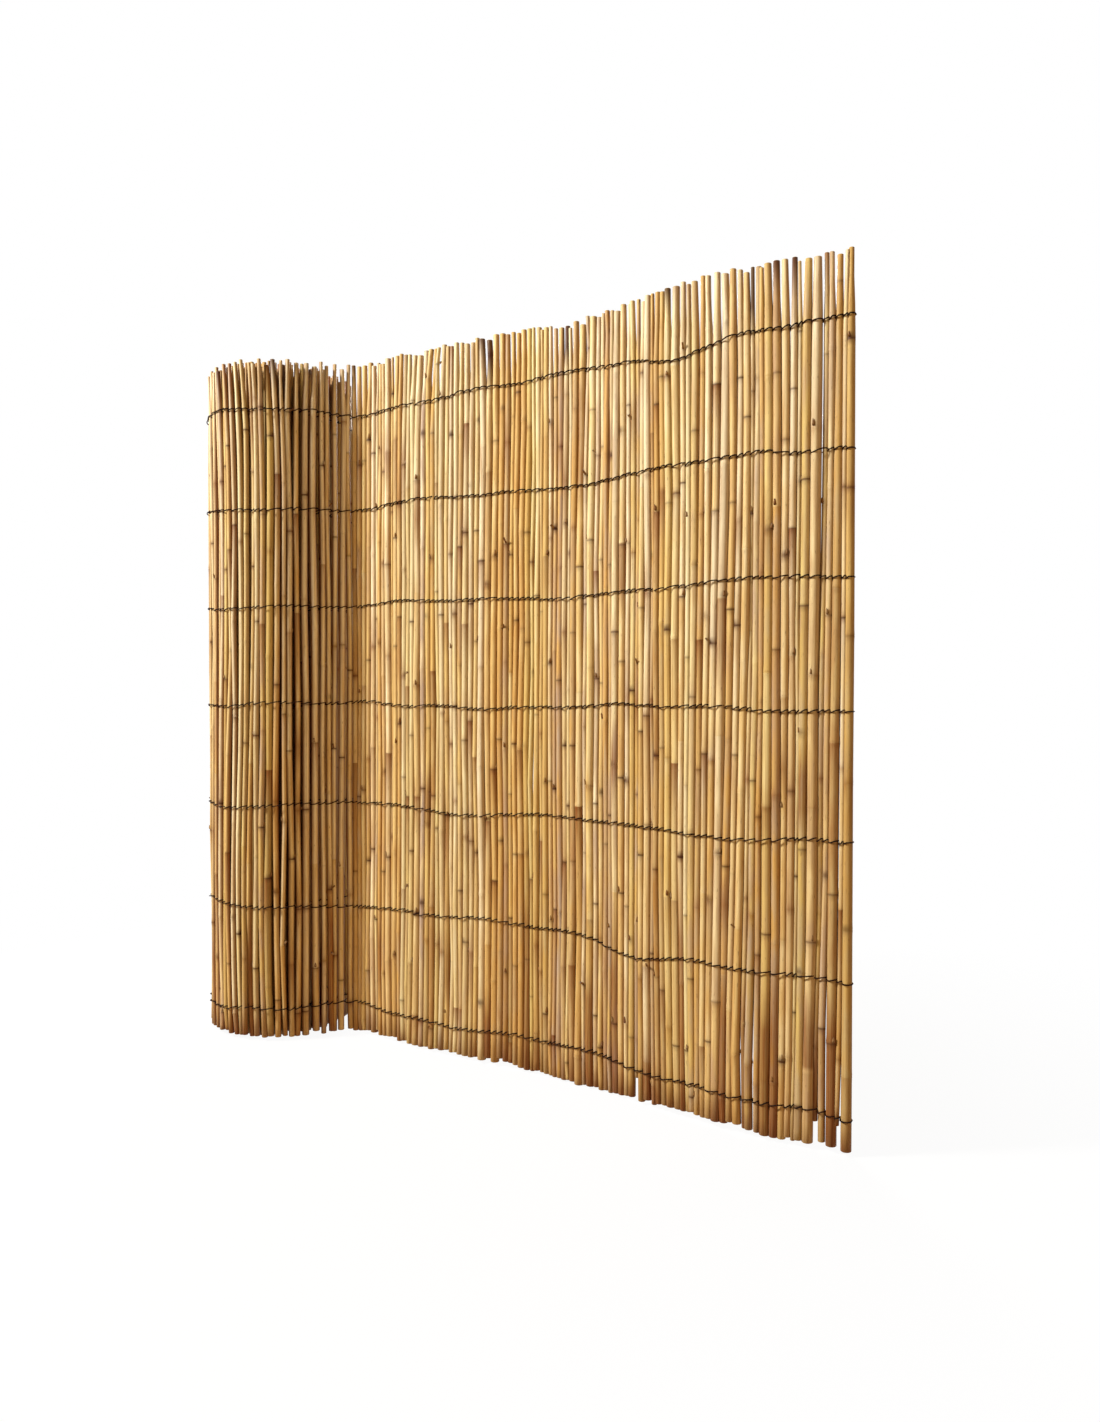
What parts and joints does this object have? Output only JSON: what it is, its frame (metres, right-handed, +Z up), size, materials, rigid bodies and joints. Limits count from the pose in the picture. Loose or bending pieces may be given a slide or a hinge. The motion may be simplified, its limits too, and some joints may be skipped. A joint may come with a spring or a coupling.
{
  "type": "bamboo cane screening roll",
  "caption": "Roll of thin bamboo canes laced side by side with wire, standing on its end with a free panel of it unrolled to one side.",
  "frame": {"origin": "centre of the bounding box at floor level", "axes": "+Z up along the canes, +X along the unrolled panel from the roll to its free edge, +Y across the mat to its back"},
  "size_m": [1.0246, 0.2356, 1],
  "materials": {
    "bamboo": "whole dry canes, uncoated, straw to honey brown",
    "wire": "thin annealed iron wire, dark, satin"
  },
  "bodies": {
    "root": {"roll_inner_turns": "bamboo", "roll_outer_turn": "bamboo", "unrolled_panel": "bamboo", "binding_wire_1": "wire", "binding_wire_2": "wire", "binding_wire_3": "wire", "binding_wire_4": "wire", "binding_wire_5": "wire", "binding_wire_6": "wire", "binding_wire_7": "wire"}
  },
  "joints": []
}
